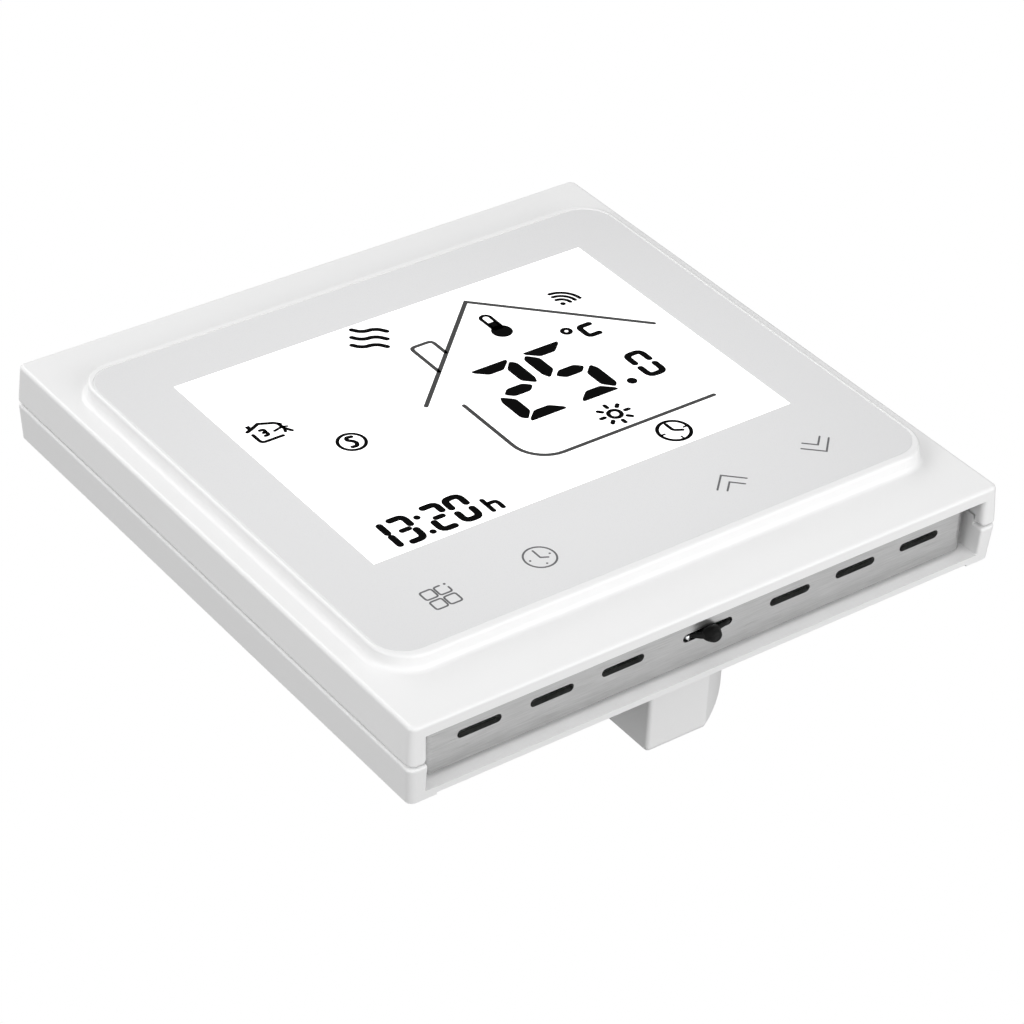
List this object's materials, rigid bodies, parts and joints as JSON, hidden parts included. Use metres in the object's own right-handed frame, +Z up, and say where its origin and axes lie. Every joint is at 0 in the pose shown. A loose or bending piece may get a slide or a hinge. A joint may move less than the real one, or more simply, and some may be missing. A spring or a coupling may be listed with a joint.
{
  "type": "wall thermostat",
  "caption": "Square flush-box room thermostat with a raised touch lens over a lit segment display, a slotted vent strip with a room sensor, and clamp terminals behind the wall plane.",
  "frame": {"origin": "wall plane, midway between the two wall screws", "axes": "+X right as seen from the room, +Z up, +Y into the wall; the display faces -Y"},
  "size_m": [0.087, 0.0393, 0.087],
  "materials": {
    "white_abs": "satin moulded plastic",
    "lens": "clear-coated silver-grey lens",
    "tape": "adhesive foam",
    "polariser": "film",
    "lcd_glass": "polished",
    "diffuser": "milky",
    "white_frame": "moulded",
    "led": "epoxy",
    "tin": "tinned",
    "green_board": "solder mask",
    "steel": "zinc plated",
    "chip": "moulded epoxy",
    "cell": "sleeve",
    "gold": "plated",
    "vent_metal": "brushed along its length",
    "sensor_black": "epoxy and sleeve",
    "terminal_green": "moulded",
    "brass": "plated",
    "relay_black": "moulded",
    "copper": "enamelled wire",
    "ferrite": "sintered",
    "yellow_tape": "tape",
    "film_yellow": "moulded box",
    "varistor_blue": "dipped epoxy",
    "fuse_brown": "moulded"
  },
  "bodies": {
    "back_frame": {"back_frame": "white_abs", "inner_cover": "white_frame", "cover_screws": "steel", "power_board": "green_board", "header_socket": "chip", "terminal_block": "terminal_green", "terminal_contacts": "brass", "relay_base": "chip", "relay_case": "relay_black", "relay_coil": "copper", "relay_yoke": "steel", "relay_contact": "tin", "transformer_core": "ferrite", "transformer_winding": "yellow_tape", "transformer_base": "chip", "x2_capacitor": "film_yellow", "varistor": "varistor_blue", "fuse": "fuse_brown", "electrolytic_capacitors": "cell", "rectifier": "chip", "supply_chip": "chip"},
    "front_panel": {"front_bezel": "white_abs", "touch_lens": "lens", "lens_tape": "tape", "front_polariser": "polariser", "lcd_front_glass": "lcd_glass", "lcd_rear_glass": "lcd_glass", "rear_polariser": "polariser", "diffuser_sheet": "diffuser", "light_guide": "diffuser", "reflector_sheet": "diffuser", "lcd_frame": "white_frame", "backlight_leds": "led", "lcd_pins": "tin", "display_board": "green_board", "board_screws": "steel", "touch_springs": "tin", "microcontroller": "chip", "lcd_driver": "chip", "radio_board": "green_board", "radio_shield": "tin", "backup_capacitor": "cell", "header_plug": "chip", "header_pins": "gold", "vent_strip": "vent_metal", "sensor_bead": "sensor_black", "sensor_leads": "sensor_black"},
    "relay_armature": {"relay_armature": "steel"},
    "terminal_screw_1": {"terminal_screw_1": "steel"},
    "terminal_cage_1": {"terminal_cage_1": "brass"},
    "terminal_screw_2": {"terminal_screw_2": "steel"},
    "terminal_cage_2": {"terminal_cage_2": "brass"},
    "terminal_screw_3": {"terminal_screw_3": "steel"},
    "terminal_cage_3": {"terminal_cage_3": "brass"},
    "terminal_screw_4": {"terminal_screw_4": "steel"},
    "terminal_cage_4": {"terminal_cage_4": "brass"},
    "terminal_screw_5": {"terminal_screw_5": "steel"},
    "terminal_cage_5": {"terminal_cage_5": "brass"},
    "terminal_screw_6": {"terminal_screw_6": "steel"},
    "terminal_cage_6": {"terminal_cage_6": "brass"}
  },
  "joints": [
    {"name": "front_panel_pull", "type": "slide", "parent": "back_frame", "child": "front_panel", "axis": [0, -1, 0], "range_m": [0, 0.04]},
    {"name": "relay_armature_pivot", "type": "hinge", "parent": "back_frame", "child": "relay_armature", "pos_m": [0.015, 0.0147, 0.0015], "axis": [-1, 0, 0], "range_deg": [0, 2.5], "stiffness_Nm_per_rad": 0.01},
    {"name": "terminal_screw_1_turn", "type": "hinge", "parent": "back_frame", "child": "terminal_screw_1", "pos_m": [-0.0202, 0.013, -0.0127], "axis": [0, -1, 0], "range_deg": [0, 1440]},
    {"name": "terminal_cage_1_lift", "type": "slide", "parent": "back_frame", "child": "terminal_cage_1", "axis": [0, 1, 0], "range_m": [0, 0.002]},
    {"name": "terminal_screw_2_turn", "type": "hinge", "parent": "back_frame", "child": "terminal_screw_2", "pos_m": [-0.0202, 0.013, -0.00762], "axis": [0, -1, 0], "range_deg": [0, 1440]},
    {"name": "terminal_cage_2_lift", "type": "slide", "parent": "back_frame", "child": "terminal_cage_2", "axis": [0, 1, 0], "range_m": [0, 0.002]},
    {"name": "terminal_screw_3_turn", "type": "hinge", "parent": "back_frame", "child": "terminal_screw_3", "pos_m": [-0.0202, 0.013, -0.00254], "axis": [0, -1, 0], "range_deg": [0, 1440]},
    {"name": "terminal_cage_3_lift", "type": "slide", "parent": "back_frame", "child": "terminal_cage_3", "axis": [0, 1, 0], "range_m": [0, 0.002]},
    {"name": "terminal_screw_4_turn", "type": "hinge", "parent": "back_frame", "child": "terminal_screw_4", "pos_m": [-0.0202, 0.013, 0.00254], "axis": [0, -1, 0], "range_deg": [0, 1440]},
    {"name": "terminal_cage_4_lift", "type": "slide", "parent": "back_frame", "child": "terminal_cage_4", "axis": [0, 1, 0], "range_m": [0, 0.002]},
    {"name": "terminal_screw_5_turn", "type": "hinge", "parent": "back_frame", "child": "terminal_screw_5", "pos_m": [-0.0202, 0.013, 0.00762], "axis": [0, -1, 0], "range_deg": [0, 1440]},
    {"name": "terminal_cage_5_lift", "type": "slide", "parent": "back_frame", "child": "terminal_cage_5", "axis": [0, 1, 0], "range_m": [0, 0.002]},
    {"name": "terminal_screw_6_turn", "type": "hinge", "parent": "back_frame", "child": "terminal_screw_6", "pos_m": [-0.0202, 0.013, 0.0127], "axis": [0, -1, 0], "range_deg": [0, 1440]},
    {"name": "terminal_cage_6_lift", "type": "slide", "parent": "back_frame", "child": "terminal_cage_6", "axis": [0, 1, 0], "range_m": [0, 0.002]}
  ],
  "couplings": [
    {"joint": "terminal_screw_1_turn", "follows": "terminal_cage_1_lift", "rad_per_m": 12566},
    {"joint": "terminal_screw_2_turn", "follows": "terminal_cage_2_lift", "rad_per_m": 12566},
    {"joint": "terminal_screw_3_turn", "follows": "terminal_cage_3_lift", "rad_per_m": 12566},
    {"joint": "terminal_screw_4_turn", "follows": "terminal_cage_4_lift", "rad_per_m": 12566},
    {"joint": "terminal_screw_5_turn", "follows": "terminal_cage_5_lift", "rad_per_m": 12566},
    {"joint": "terminal_screw_6_turn", "follows": "terminal_cage_6_lift", "rad_per_m": 12566}
  ]
}
